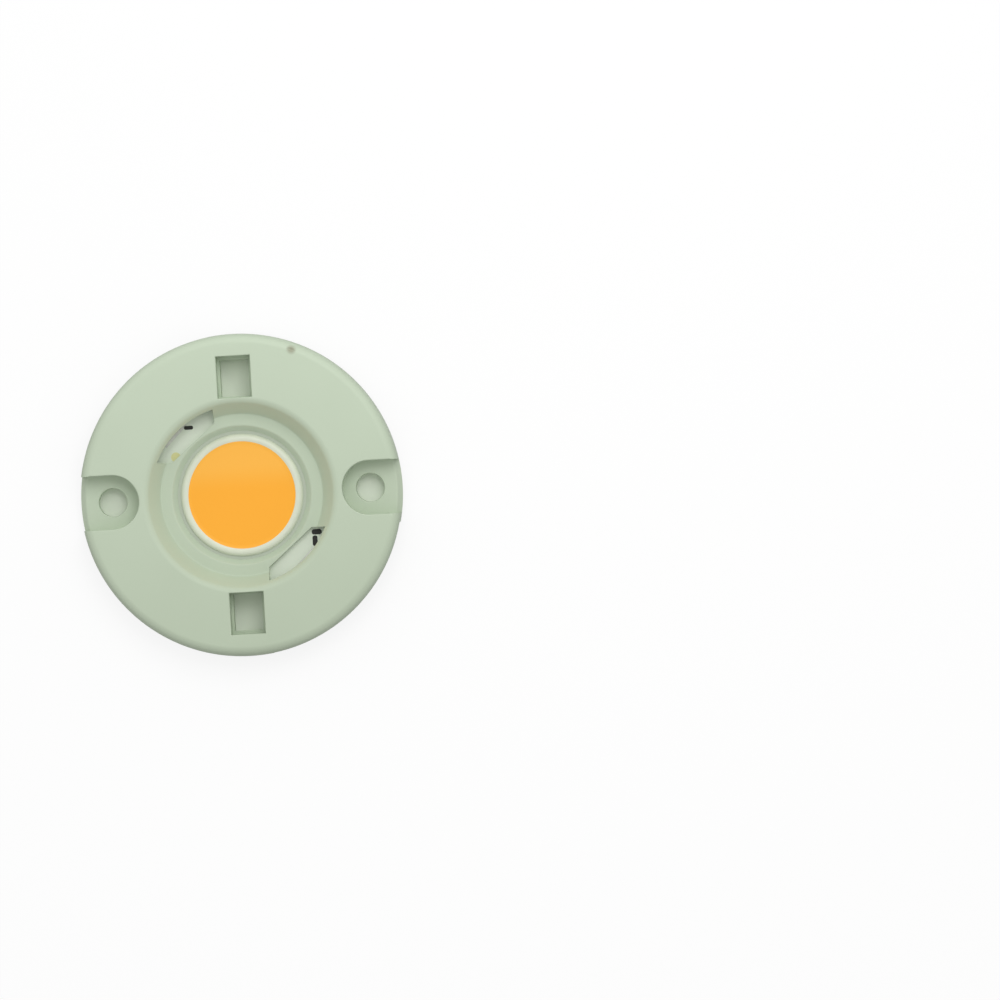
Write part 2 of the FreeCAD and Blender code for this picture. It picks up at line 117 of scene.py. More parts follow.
class HolderSizes(bpy.types.PropertyGroup):
    """Sizes of the moulded holder."""
    turns: IntProperty(name="Turn steps", description="Facets round the light axis",
                       default=192, min=48)
    moulded_edge: length("Moulded edge", "Rounding of the edges that the mould leaves", 0.18)
    rim_front_bevel: length("Front bevel", "Bevel between front face and rim", 0.9)
    rim_back_bevel: length("Back bevel", "Bevel between mounting side and rim", 1.2)
    rim_round: length("Rim rounding", "Rounding of both edges of the front bevel", 0.58)
    opening_radius: length("Opening", "Radius of the light opening at the board", 10.0)
    ledge_inner_radius: length("Ledge, inside", "Inner edge of the optic ledge", 10.8)
    ledge_outer_radius: length("Ledge, outside", "Foot of the cone on the ledge", 12.6)
    ledge_height: length("Ledge height", "Optic ledge above the mounting face", 2.1)
    cone_radius: length("Cone", "Mouth of the cone before it is rounded", 14.6)
    mouth_round: length("Mouth rounding", "Rounding of the mouth, along its two faces", 0.75)
    screw_offset: length("Screw hole place", "Screw hole's centre from the light axis", 20.0)
    screw_radius: length("Screw hole", "Radius of the screw hole", 2.2)
    pocket_radius: length("Screw pocket", "Round end of the open screw pocket", 4.2)
    pocket_floor: length("Pocket floor", "Thickness of the screw pocket's floor", 2.3)
    pocket_bevel: length("Pocket bevel", "Bevel between the pocket's floor and the rim", 0.8)
    window_inner: length("Window, inside", "Snap window's edge nearest the centre", 15.1)
    window_outer: length("Window, outside", "Snap window's edge nearest the rim", 21.6)
    window_width: length("Window width", "Snap window at the front, across", 5.3)
    window_back_outer: length("Back window", "Snap window's outer edge at the back", 21.0)
    window_back_width: length("Back window width", "Snap window at the back, across", 4.5)
    window_step: length("Window step", "Height of the step inside the window", 2.4)
    recess_half: length("Board recess", "Half the side of the board's recess", 14.5)
    room_across: length("Room wall across", "Wire room's wall beside the snap window", 3.6)
    room_along: length("Room wall along", "Wire room's wall beside the screw pocket", 5.6)
    room_chord: length("Room chord", "Distance of the room's slanted wall from the centre", 11.05)
    room_ceiling: length("Room ceiling", "Wire room's ceiling above the mounting face", 3.0)
    gate_ceiling: length("Gate ceiling", "Raised ceiling where the room opens into the cone", 4.4)
    gate_chord: length("Gate chord", "Distance of the raised ceiling's wall from the centre", 14.8)
    relief_offset: length("Relief place", "Centre of the corner relief along X and Y", 11.7)
    relief_radius: length("Relief", "Radius of the corner relief", 4.35)
    relief_ceiling: length("Relief ceiling", "Corner relief's ceiling", 1.6)
    slant: angle("Slant", "Turn of the room's slanted wall from the X axis", 50)
    nick_radius: length("Nick", "Middle of the nick in the rim, from the centre", 23.9)
    nick_turn: angle("Nick direction", "Direction of the nick, from the X axis", 67.4)
    nick_reach: length("Nick length", "Half the length of the nick, along the rim", 0.65)
    nick_width: length("Nick width", "Half the width of the nick, across the rim", 0.39)
    nick_depth: length("Nick depth", "Depth of the nick below the front face", 0.2275)


class LightFieldSizes(bpy.types.PropertyGroup):
    """Sizes of the dam and of the phosphor inside it."""
    turns: IntProperty(name="Turn steps", description="Facets round the light axis",
                       default=160, min=48)
    dam_width: length("Dam width", "Dam bead at its foot", 1.5)
    dam_belly: length("Dam belly", "Dam bead where its sides start to lean in", 1.32)
    dam_belly_level: length("Dam belly level", "Height of that place above the board", 0.2925)
    dam_crest: length("Dam crest", "Dam bead at its flat crest", 0.72)
    crest_round: length("Crest rounding", "Rounding of both edges of the crest", 0.3)
    fill_level: length("Fill level", "Phosphor above the board", 0.45)
    fill_edge: length("Fill edge", "Phosphor's upper edge, in from the dam's middle", 0.375)
    fill_foot: length("Fill foot", "Phosphor's lower edge, in from the dam's middle", 0.69)
    wire_cover: length("Wire cover", "Phosphor's underside above the bond wires", 0.01)
    meniscus: length("Meniscus", "Width over which the phosphor rises to the dam", 0.7)


class MarkSizes(bpy.types.PropertyGroup):
    """Places and sizes of the polarity marks printed on the board."""
    minus: dash("Minus", "The minus sign", -7.72, 10.90, 1.40, 0.60)
    plus_across: dash("Plus, across", "The plus sign's stroke along X", 11.22, -6.36, 1.55, 0.85)
    plus_along: dash("Plus, along", "The plus sign's stroke along Y", 10.90, -7.74, 0.78, 1.63)
    thickness: length("Ink", "Thickness of the ink", 0.012)


class Finishes(bpy.types.PropertyGroup):
    """Colours of the finishes, as they show in plain light, and where they change. The holder's
    shaded colour and the groove colour are painted shade, and the pale phosphor is a painted sheen.
    """
    plastic: colour("Plastic", "Moulded holder", "#C4D2BB")
    # Painted shade: the plastic is painted towards this darker colour at -Y, where less light falls,
    # and towards it in random patches.
    plastic_shade_and_patches: colour("Plastic, shaded", "Painted shade towards -Y, and patches", "#B0BDA6")
    dirt: colour("Dirt", "Dirt in the nick of the rim", "#9A9B84")
    ceramic: colour("Ceramic", "Alumina board", "#CEDBC8")
    glaze: colour("Glaze", "Glass overcoat on the board", "#E1EBD9")
    # Painted shade: a grey ring that stands in for the shade in the groove round the dam.
    shade: colour("Groove shade", "Dust in the groove round the dam", "#AEB8A6")
    silicone: colour("Silicone", "White dam", "#DBE1CD")
    phosphor: colour("Phosphor", "Phosphor in silicone", "#FDAE2A")
    # Painted sheen: the paler phosphor towards +Y stands in for the lamp's light reflected off the
    # fill.
    phosphor_sheen: colour("Phosphor, pale", "Phosphor where it is thin", "#FDB742")
    silver: colour("Silver", "Fired silver conductor", "#DCDFD6")
    gilt: colour("Gilt", "Gilt measuring dot", "#E0DE9F")
    die: colour("Die", "Sapphire die", "#5C7486")
    gold: colour("Gold", "Bond wire", "#E6B85C")
    ink: colour("Ink", "Printed polarity marks", "#15170F")
    paper: colour("Paper", "Backing that shows through the holes", "#E4EBDD")
    wear_patch: length("Wear patches", "Size of the patches of dull plastic", 14)
    # Share of the holder's darker tone that follows random patches, not the painted shade towards -Y.
    patchiness: fraction("Patchiness", "How much of the plastic's darkening is in patches", 0.3)
    dirt_core: length("Dirt, core", "Full dirt round the middle of the nick", 0.2)
    dirt_edge: length("Dirt, edge", "Last dirt round the middle of the nick", 0.9)
    # Where the painted shade in the groove round the dam is full and where it ends.
    groove_shade_core: length("Dust, core", "Full dust, from the light axis", 10.1)
    groove_shade_edge: length("Dust, edge", "Last dust, from the light axis", 10.5)
    # Where the painted sheen on the phosphor starts and where it is strongest, along Y.
    sheen_start: offset("Pale phosphor, start", "Where it starts to pale, along Y", 0.5)
    sheen_end: offset("Pale phosphor, end", "Where it is palest, along Y", 5)


class StageSizes(bpy.types.PropertyGroup):
    """The camera's place, the sheet under the module and the light."""
    camera_across: offset("Camera, across", "Camera from the light axis, along X", 190)
    camera_along: offset("Camera, along", "Camera from the light axis, along Y", -15)
    camera_height: length("Camera height", "Camera above the sheet", 3000)
    picture_across: offset("Picture, across", "Middle of the picture from the axis, along X", 40.15)
    picture_along: offset("Picture, along", "Middle of the picture from the axis, along Y", -3.15)
    picture_width: length("Picture width", "Width of the picture at the front face", 154.6)
    picture_turn: angle("Picture turn", "Turn of the camera about its own axis", -3.37)
    key_level: fraction("Key light", "Share of the light that the lamp gives", 0.29)
    key_distance: length("Key distance", "Lamp from the module", 320)
    key_size: length("Key size", "Side of the lamp's soft box", 200)
    key_height: angle("Key elevation", "Elevation of the lamp", 58)
    key_turn: angle("Key direction", "Direction of the lamp, from the X axis", 65)
    fill_level: fraction("Fill light", "Share of the light that comes from all round", 0.745)
    fill_fall: fraction("Fill fall", "How much brighter it is from +Y than from all round", 0.3)
    sheet_radius: length("Sheet", "Radius of the white sheet", 1500)
    sheet_tone: fraction("Sheet tone", "How light the sheet is where it is seen", 0.94)
    sheet_bounce: fraction("Sheet bounce", "How light the sheet is where it lights the module", 0.12)
    sheet_lift: fraction("Sheet lift", "How much of the shadow on the sheet is lifted to white", 0.84)
    paper_start: length("Paper, start", "Where the paper starts to fade, in from the rim", 2.7)
    paper_end: length("Paper, end", "Where the paper has faded, in from the rim", 0.5)


def show_alone(piece):
    """Leave edit mode and select one object only."""
    if bpy.context.mode != "OBJECT":
        bpy.ops.object.mode_set(mode="OBJECT")
    bpy.ops.object.select_all(action="DESELECT")
    if piece:
        piece.select_set(True)
        bpy.context.view_layer.objects.active = piece


def leave_edit_mode():
    bpy.ops.object.mode_set(mode="OBJECT")


def pick(piece, kind, test):
    """In edit mode, select only the vertices, edges or faces that pass a test."""
    bpy.ops.mesh.select_mode(type=kind)
    bpy.ops.mesh.select_all(action="DESELECT")
    mesh = bmesh.from_edit_mesh(piece.data)
    items = {"VERT": mesh.verts, "EDGE": mesh.edges, "FACE": mesh.faces}[kind]
    for item in items:
        if test(item):
            item.select_set(True)
    mesh.select_flush_mode()
    bmesh.update_edit_mesh(piece.data)


def pick_all():
    bpy.ops.mesh.select_all(action="SELECT")


def move_picked(x, y, z):
    bpy.ops.transform.translate(value=(x, y, z))


def extrude_picked(x, y, z):
    bpy.ops.mesh.extrude_region_move(TRANSFORM_OT_translate={"value": (x, y, z)})


def trace(name, corners):
    """A filled outline: one point, extruded from corner to corner and closed with a face."""
    show_alone(None)
    bpy.ops.mesh.primitive_plane_add(size=MM)
    piece = bpy.context.object
    piece.name = name
    bpy.ops.object.mode_set(mode="EDIT")
    bpy.ops.mesh.select_mode(type="VERT")
    pick_all()
    bpy.ops.mesh.merge(type="CENTER")
    move_picked(*corners[0])
    for here, there in zip(corners, corners[1:]):
        extrude_picked(*(Vector(there) - Vector(here)))
    pick_all()
    bpy.ops.mesh.edge_face_add()
    return piece


def add_disc(name, x, y, radius, steps):
    """A filled circle in the XY plane, left in edit mode."""
    show_alone(None)
    bpy.ops.mesh.primitive_circle_add(vertices=steps, radius=radius, fill_type="NGON")
    piece = bpy.context.object
    piece.name = name
    bpy.ops.object.mode_set(mode="EDIT")
    pick_all()
    move_picked(x, y, 0)
    return piece


def add_rectangle(name, left, bottom, right, top):
    """A filled rectangle in the XY plane, left in edit mode."""
    show_alone(None)
    bpy.ops.mesh.primitive_plane_add(size=1)
    piece = bpy.context.object
    piece.name = name
    bpy.ops.object.mode_set(mode="EDIT")
    pick_all()
    bpy.ops.transform.resize(value=(right - left, top - bottom, 1), center_override=(0, 0, 0))
    move_picked((left + right) / 2, (bottom + top) / 2, 0)
    return piece


def round_corner(piece, corner, amount, segments=4):
    """Round one corner of an outline, by an amount measured along its two sides."""
    pick(piece, "VERT", lambda vert: (vert.co - Vector(corner)).length < CLOSE)
    bpy.ops.mesh.bevel(offset=amount, offset_type="OFFSET", segments=segments, affect="VERTICES")


def lathe(piece, steps):
    """Spin an outline in the XZ plane about the light axis into a closed solid."""
    pick_all()
    bpy.ops.mesh.delete(type="ONLY_FACE")
    pick(piece, "EDGE", lambda edge: all(abs(vert.co.x) < CLOSE for vert in edge.verts))
    bpy.ops.mesh.delete(type="EDGE")
    pick_all()
    bpy.ops.mesh.spin(steps=steps, angle=2 * math.pi, center=(0, 0, 0), axis=(0, 0, 1))
    pick_all()
    bpy.ops.mesh.remove_doubles(threshold=CLOSE)
    bpy.ops.mesh.normals_make_consistent(inside=False)
    leave_edit_mode()
    return piece


def sink(piece, start, end, lip=0):
    """Turn a flat outline into a cutter from start to end. The outline is wider than the hole by
    the lip, which becomes a rounded edge at the start."""
    way = math.copysign(1, end - start)
    pick_all()
    move_picked(0, 0, start - way * OVERSHOOT)
    extrude_picked(0, 0, way * OVERSHOOT)
    pick_all()
    bpy.ops.mesh.normals_make_consistent(inside=False)
    pick(piece, "FACE", lambda face: abs(face.calc_center_median().z - start) < CLOSE)
    if lip:
        for here, there in zip(QUARTER_TURN, QUARTER_TURN[1:]):
            bpy.ops.mesh.inset(thickness=lip * (math.sin(there) - math.sin(here)),
                               depth=lip * (math.cos(here) - math.cos(there)))
    extrude_picked(0, 0, end - start - way * lip)
    pick_all()
    bpy.ops.mesh.normals_make_consistent(inside=False)
    return piece


def add_half_turn_twin(piece):
    """Add a copy of the mesh half a turn about the light axis."""
    show_alone(piece)
    bpy.ops.object.mode_set(mode="EDIT")
    pick_all()
    bpy.ops.mesh.duplicate()
    bpy.ops.transform.rotate(value=math.pi, orient_axis="Z", center_override=(0, 0, 0))
    leave_edit_mode()
    return piece


def carve(piece, cutter):
    """Cut a piece with a cutter, which is then deleted."""
    show_alone(piece)
    modifier = piece.modifiers.new("carve", "BOOLEAN")
    modifier.operation = "DIFFERENCE"
    modifier.solver = "EXACT"
    modifier.object = cutter
    bpy.ops.object.modifier_apply(modifier=modifier.name)
    bpy.data.meshes.remove(cutter.data)
    bpy.ops.object.mode_set(mode="EDIT")
    pick_all()
    bpy.ops.mesh.remove_doubles(threshold=CLOSE)
    bpy.ops.mesh.dissolve_degenerate(threshold=CLOSE)
    leave_edit_mode()
    return piece


def smooth_edges(piece, degrees=35):
    """Shade smooth up to an angle, and keep broad flat faces flat beside their rounded edges."""
    show_alone(piece)
    bpy.ops.object.shade_smooth_by_angle(angle=math.radians(degrees))
    modifier = piece.modifiers.new("flat faces", "WEIGHTED_NORMAL")
    modifier.keep_sharp = True
    bpy.ops.object.modifier_apply(modifier=modifier.name)


def hand_over(piece, finish, slot=None, *nodes):
    """Give a finished piece its material and its body, and hide the CAD nodes that it stands for."""
    piece.data.materials.clear()
    piece.data.materials.append(finish)
    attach(piece, "root")
    if nodes:
        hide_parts(*nodes)


def add_node(tree, kind, settings=None, inputs=None):
    """Add a node with its settings. An input is a value, or another node's output to link."""
    node = tree.nodes.new(kind)
    for name, value in (settings or {}).items():
        setattr(node, name, value)
    for name, value in (inputs or {}).items():
        if isinstance(value, bpy.types.NodeSocket):
            tree.links.new(value, node.inputs[name])
        else:
            node.inputs[name].default_value = value
    return node


def opaque(rgb):
    return (*rgb, 1.0)


def darker(rgb, share):
    return [part * share for part in rgb]


def start_material(name, roughness, ior=1.5, metallic=0.0):
    """A material without colour, its shader and the Object coordinates that its patterns read."""
    material = bpy.data.materials.new(name)
    material.use_nodes = True
    tree = material.node_tree
    tree.nodes.clear()
    shader = add_node(tree, "ShaderNodeBsdfPrincipled", inputs={
        "Roughness": roughness, "IOR": ior, "Metallic": metallic})
    add_node(tree, "ShaderNodeOutputMaterial", inputs={"Surface": shader.outputs[0]})
    place = add_node(tree, "ShaderNodeTexCoord").outputs["Object"]
    return material, tree, shader, place


def blend(tree, share, first, second):
    """A mix of two colours by the given share of the second. Each may be a node's output."""
    mix = add_node(tree, "ShaderNodeMix", {"data_type": "RGBA"}, {0: share, 6: first, 7: second})
    return mix.outputs[2]


def patches(tree, place, size):
    """Soft noise in patches of the given size."""
    noise = add_node(tree, "ShaderNodeTexNoise",
                     inputs={"Vector": place, "Scale": 1 / size, "Detail": 2.0})
    return noise.outputs[0]


def mottle(tree, place, size, first, second):
    """A soft mix of two colours in patches. Most of the noise lies between 0.3 and 0.7."""
    spread = add_node(tree, "ShaderNodeMapRange", inputs={
        "Value": patches(tree, place, size), "From Min": 0.3, "From Max": 0.7})
    return blend(tree, spread.outputs[0], opaque(first), opaque(second))


def grain(tree, place, size, height, strength):
    """Bump of the given grain size and height."""
    noise = add_node(tree, "ShaderNodeTexNoise",
                     inputs={"Vector": place, "Scale": 1 / size, "Detail": 3.0})
    bump = add_node(tree, "ShaderNodeBump", inputs={
        "Height": noise.outputs[0], "Distance": height, "Strength": strength})
    return bump.outputs[0]


def moulded_plastic(finishes, nick):
    """Glass-filled polyester, injection moulded in a spark-eroded mould: satin, with a fine grain.
    Painted shade makes it darker towards -Y, and soft patches of random tone take a smaller share
    of the same darker colour; dirt sits in the nick. The real grain is 0.05 mm, drawn at 0.25 mm."""
    material, tree, shader, place = start_material("moulded_polyester", roughness=0.55)
    noise = patches(tree, place, finishes.wear_patch)
    parts = add_node(tree, "ShaderNodeSeparateXYZ", inputs={0: place})
    # Painted shade: the colour falls off towards -Y as if the light came from +Y, mixed with random
    # patches.
    fall = add_node(tree, "ShaderNodeMapRange", inputs={
        "Value": parts.outputs["Y"], "From Min": RIM, "From Max": -RIM})
    shade_and_patches = add_node(tree, "ShaderNodeMix", inputs={
        0: finishes.patchiness, 2: fall.outputs[0], 3: noise})
    unmarked = blend(tree, shade_and_patches.outputs[0], opaque(finishes.plastic), opaque(finishes.plastic_shade_and_patches))
    reach = add_node(tree, "ShaderNodeVectorMath", {"operation": "DISTANCE"}, {0: place, 1: nick})
    outside = add_node(tree, "ShaderNodeMapRange", inputs={
        "Value": reach.outputs["Value"], "From Min": finishes.dirt_core,
        "From Max": finishes.dirt_edge})
    tone = blend(tree, outside.outputs[0], opaque(finishes.dirt), unmarked)
    tree.links.new(tone, shader.inputs["Base Color"])
    fine = grain(tree, place, size=0.25 * MM, height=0.015 * MM, strength=0.35)
    tree.links.new(fine, shader.inputs["Normal"])
    return material


def plain_finish(name, first, second, patch, roughness, ior=1.5, metallic=0.0, bump=None):
    """A finish with a soft change of tone, and a grain where bump gives its size and height."""
    material, tree, shader, place = start_material(name, roughness, ior, metallic)
    tree.links.new(mottle(tree, place, patch, first, second), shader.inputs["Base Color"])
    if bump:
        size, height = bump
        tree.links.new(grain(tree, place, size, height, strength=0.5), shader.inputs["Normal"])
    return material


def glass_overcoat(finishes):
    """White glass printed over the board: glossy, grey with painted shade in the groove round the
    dam.
    """
    material, tree, shader, place = start_material("glass_overcoat", roughness=0.35)
    white = mottle(tree, place, 4 * MM, finishes.glaze, darker(finishes.glaze, 0.97))
    # Painted shade: grey in a ring round the dam, where the groove lies in shade.
    reach = add_node(tree, "ShaderNodeVectorMath", {"operation": "LENGTH"}, {0: place})
    unmarked = add_node(tree, "ShaderNodeMapRange", inputs={
        "Value": reach.outputs["Value"], "From Min": finishes.groove_shade_core,
        "From Max": finishes.groove_shade_edge})
    tone = blend(tree, unmarked.outputs[0], opaque(finishes.shade), white)
    tree.links.new(tone, shader.inputs["Base Color"])
    return material


def phosphor_silicone(finishes):
    """Phosphor powder in silicone, cast: satin, with a painted sheen that makes it paler towards +Y.
    """
    material, tree, shader, place = start_material("phosphor_silicone", roughness=0.42, ior=1.41)
    parts = add_node(tree, "ShaderNodeSeparateXYZ", inputs={0: place})
    # Painted sheen: the phosphor is painted paler towards +Y, where the lamp's light reflects.
    lit = add_node(tree, "ShaderNodeMapRange", {"interpolation_type": "SMOOTHSTEP"}, {
        "Value": parts.outputs["Y"], "From Min": finishes.sheen_start, "From Max": finishes.sheen_end})
    tone = blend(tree, lit.outputs[0], opaque(finishes.phosphor), opaque(finishes.phosphor_sheen))
    tree.links.new(tone, shader.inputs["Base Color"])
    fine = grain(tree, place, size=0.2 * MM, height=0.006 * MM, strength=0.5)
    tree.links.new(fine, shader.inputs["Normal"])
    return material


def seen_rays(tree):
    """1 for rays from the camera, from gloss and through glass, 0 for the others."""
    path = add_node(tree, "ShaderNodeLightPath")
    gloss = add_node(tree, "ShaderNodeMath", {"operation": "MAXIMUM"}, {
        0: path.outputs["Is Camera Ray"], 1: path.outputs["Is Glossy Ray"]})
    return add_node(tree, "ShaderNodeMath", {"operation": "MAXIMUM"}, {
        0: gloss.outputs[0], 1: path.outputs["Is Transmission Ray"]}).outputs[0]


def pocket_outline(sizes, lip):
    """A half circle round the screw hole that runs out past the rim."""
    piece = add_disc("screw_pocket", sizes.screw_offset, 0, sizes.pocket_radius + lip,
                     sizes.turns // 2)
    pick(piece, "VERT", lambda vert: vert.co.x > sizes.screw_offset + CLOSE)
    move_picked(RIM - sizes.screw_offset, 0, 0)
    return piece


def slanted_wall(sizes, across, along, chord):
    """Both ends of a slanted wall of the wire room, where it meets the room's straight walls."""
    cosine = math.cos(sizes.slant)
    sine = math.sin(sizes.slant)
    return [
        ((chord - along * sine) / cosine, -along, 0),
        (across, -(chord - across * cosine) / sine, 0),
    ]


def room_outline(sizes, lip):
    """The wire room: two straight walls, a slanted inner one, and open past the rim."""
    across = sizes.room_across - lip
    along = sizes.room_along - lip
    far = RIM + OVERSHOOT
    return trace("wire_room", [
        (across, -far, 0),
        (far, -far, 0),
        (far, -along, 0),
        *slanted_wall(sizes, across, along, sizes.room_chord - lip),
    ])


def gate_outline(sizes):
    """The raised part of the wire room beside the cone, a hair inside the room's straight walls."""
    hair = 0.03 * MM
    across = sizes.room_across + hair
    along = sizes.room_along + hair
    return trace("wire_gate", [
        *slanted_wall(sizes, across, along, sizes.room_chord - OVERSHOOT),
        *reversed(slanted_wall(sizes, across, along, sizes.gate_chord)),
    ])


def screw_hole(sizes, lip):
    """The screw hole, turned about its own axis, with a rounded edge at both ends."""
    radius = sizes.screw_radius
    mouth = [(radius + lip * (1 - math.sin(turn)), lip * (1 - math.cos(turn)))
             for turn in QUARTER_TURN]
    floor = sizes.pocket_floor
    hole = trace("screw_hole", [
        (0, 0, -OVERSHOOT),
        (radius + lip, 0, -OVERSHOOT),
        *[(reach, 0, rise) for reach, rise in mouth],
        *[(reach, 0, floor - rise) for reach, rise in reversed(mouth)],
        (radius + lip, 0, floor + OVERSHOOT),
        (0, 0, floor + OVERSHOOT),
    ])
    lathe(hole, sizes.turns // 3)
    bpy.ops.object.mode_set(mode="EDIT")
    pick_all()
    move_picked(sizes.screw_offset, 0, 0)
    return hole


def rim_nick(sizes):
    """The nick in the front edge of the rim: a shallow chip, longest along the rim."""
    show_alone(None)
    bpy.ops.mesh.primitive_uv_sphere_add(segments=16, ring_count=8, radius=1)
    chip = bpy.context.object
    bpy.ops.object.mode_set(mode="EDIT")
    pick_all()
    bpy.ops.transform.resize(value=(sizes.nick_width, sizes.nick_reach, sizes.nick_depth),
                             center_override=(0, 0, 0))
    move_picked(sizes.nick_radius, 0, FACE)
    # The tool turns clockwise where the value is positive.
    bpy.ops.transform.rotate(value=-sizes.nick_turn, orient_axis="Z", center_override=(0, 0, 0))
    leave_edit_mode()
    return chip


def stop_at(cutter, sizes, height, edge, way):
    """Stop a cutter at a height, and past the given radius at a slope of 45 degrees away from it.
    The cutter comes from the other side, and way is 1 where it goes up."""
    leave_edit_mode()
    far = 2 * RIM
    corner = (edge, 0, height)
    stop = trace("cutter_stop", [
        (0, 0, height),
        corner,
        (far, 0, height + way * (far - edge)),
        (far, 0, height + way * far),
        (0, 0, height + way * far),
    ])
    round_corner(stop, corner, sizes.moulded_edge)
    lathe(stop, sizes.turns)
    bpy.ops.object.mode_set(mode="EDIT")
    pick(stop, "FACE", lambda face: abs(face.normal.z) > LEVEL)
    bpy.ops.mesh.dissolve_faces()
    leave_edit_mode()
    return carve(cutter, stop)


def holder_disc(sizes):
    """The holder before its pockets are cut: one section, spun about the light axis."""
    edge = sizes.moulded_edge
    section = [
        ((sizes.opening_radius, 0, 0), 0),
        ((RIM - sizes.rim_back_bevel, 0, 0), edge),
        ((RIM, 0, sizes.rim_back_bevel), edge),
        ((RIM, 0, FACE - sizes.rim_front_bevel), sizes.rim_round),
        ((RIM - sizes.rim_front_bevel, 0, FACE), sizes.rim_round),
        ((sizes.cone_radius, 0, FACE), sizes.mouth_round),
        ((sizes.ledge_outer_radius, 0, sizes.ledge_height), edge),
        ((sizes.ledge_inner_radius, 0, sizes.ledge_height), edge),
        ((sizes.opening_radius, 0, COAT_TOP), 0),
    ]
    disc = trace("holder_shell", [corner for corner, amount in section])
    for corner, amount in section:
        if amount:
            round_corner(disc, corner, amount)
    return lathe(disc, sizes.turns)


def holder_cutters(sizes):
    """Every hollow of the holder. All but the board recess and the nick come with a twin half a turn
    on.
    """
    lip = sizes.moulded_edge
    half = sizes.recess_half + lip
    recess = add_rectangle("board_recess", -half, -half, half, half)
    yield sink(recess, 0, COAT_TOP, lip)

    room = sink(room_outline(sizes, lip), 0, FACE + OVERSHOOT, lip)
    room_edge = RIM - sizes.rim_back_bevel
    yield add_half_turn_twin(stop_at(room, sizes, sizes.room_ceiling, room_edge, 1))

    # The gate's cutter starts inside the room, and its seam stays off the room's ceiling.
    seam = sizes.room_ceiling + 0.3 * MM
    yield add_half_turn_twin(sink(gate_outline(sizes), seam, sizes.gate_ceiling))

    relief = add_disc("corner_relief", sizes.relief_offset, sizes.relief_offset,
                      sizes.relief_radius + lip, sizes.turns // 2)
    yield add_half_turn_twin(sink(relief, 0, sizes.relief_ceiling, lip))

    seat = sink(pocket_outline(sizes, lip), FACE, -OVERSHOOT, lip)
    floor_edge = RIM - sizes.pocket_bevel
    yield add_half_turn_twin(stop_at(seat, sizes, sizes.pocket_floor, floor_edge, -1))

    yield add_half_turn_twin(screw_hole(sizes, lip))

    across = sizes.window_width / 2 + lip
    window = add_rectangle("window", -across, sizes.window_inner - lip,
                           across, sizes.window_outer + lip)
    yield add_half_turn_twin(sink(window, FACE, sizes.window_step, lip))
    across = sizes.window_back_width / 2 + lip
    back_window = add_rectangle("window_back", -across, sizes.window_inner,
                                across, sizes.window_back_outer + lip)
    yield add_half_turn_twin(sink(back_window, 0, sizes.window_step + OVERSHOOT, lip))

    yield rim_nick(sizes)


class LED_OT_holder(bpy.types.Operator):
    """Model the moulded holder and give it its finish"""
    bl_idname = "led.holder"
    bl_label = "Moulded holder"

    def execute(self, context):
        sizes = context.scene.led_holder
        shell = holder_disc(sizes)
        for cutter in holder_cutters(sizes):
            carve(shell, cutter)
        smooth_edges(shell)
        nick = Vector((math.cos(sizes.nick_turn), math.sin(sizes.nick_turn), 0)) * sizes.nick_radius
        finish = moulded_plastic(context.scene.led_finishes, nick + Vector((0, 0, FACE)))
        hand_over(shell, finish, "moulded_plastic", "holder")
        return {"FINISHED"}


class LED_OT_light_field(bpy.types.Operator):
    """Model the dam bead and the phosphor inside it"""
    bl_idname = "led.light_field"
    bl_label = "Dam and phosphor"

    def execute(self, context):
        sizes = context.scene.led_light_field
        finishes = context.scene.led_finishes
        middle = DAM_FOOT - sizes.dam_width / 2
        self.add_dam(sizes, finishes, middle)
        self.add_phosphor(sizes, finishes, middle)
        return {"FINISHED"}

    def add_dam(self, sizes, finishes, middle):
        """A bead of silicone, drawn in a ring over the conductors' arcs."""
        foot = sizes.dam_width / 2
        belly = sizes.dam_belly / 2
        crest = sizes.dam_crest / 2
        belly_level = BOARD_TOP + sizes.dam_belly_level
        dam = trace("dam_bead", [
            (middle - foot, 0, BOARD_TOP + TRACK),
            (middle + foot, 0, BOARD_TOP + TRACK),
            (middle + belly, 0, belly_level),
            (middle + crest, 0, DAM_TOP),
            (middle - crest, 0, DAM_TOP),
            (middle - belly, 0, belly_level),
        ])
        for reach in (crest, -crest):
            round_corner(dam, (middle + reach, 0, DAM_TOP), sizes.crest_round, 6)
        lathe(dam, sizes.turns)
        smooth_edges(dam, 50)
        silicone = plain_finish("white_silicone", finishes.silicone, darker(finishes.silicone, 0.94),
                                patch=3 * MM, roughness=0.38, ior=1.41)
        hand_over(dam, silicone, "white_silicone", "dam_ring")

    def add_phosphor(self, sizes, finishes, middle):
        """A level fill over the dies and wires that rises to the dam at its edge."""
        level = BOARD_TOP + sizes.fill_level
        edge = middle - sizes.fill_edge
        steps = 6
        rise = [
            (edge - sizes.meniscus * step / steps, 0,
             level + (PHOSPHOR_TOP - level) * (1 - step / steps) ** 2)
            for step in range(steps + 1)
        ]
        bottom = WIRE_TOP + sizes.wire_cover
        fill = trace("phosphor_disc", [
            (0, 0, bottom), (middle - sizes.fill_foot, 0, bottom), *rise, (0, 0, level)])
        lathe(fill, sizes.turns)
        smooth_edges(fill, 50)
        hand_over(fill, phosphor_silicone(finishes), "phosphor_silicone", "phosphor_fill")


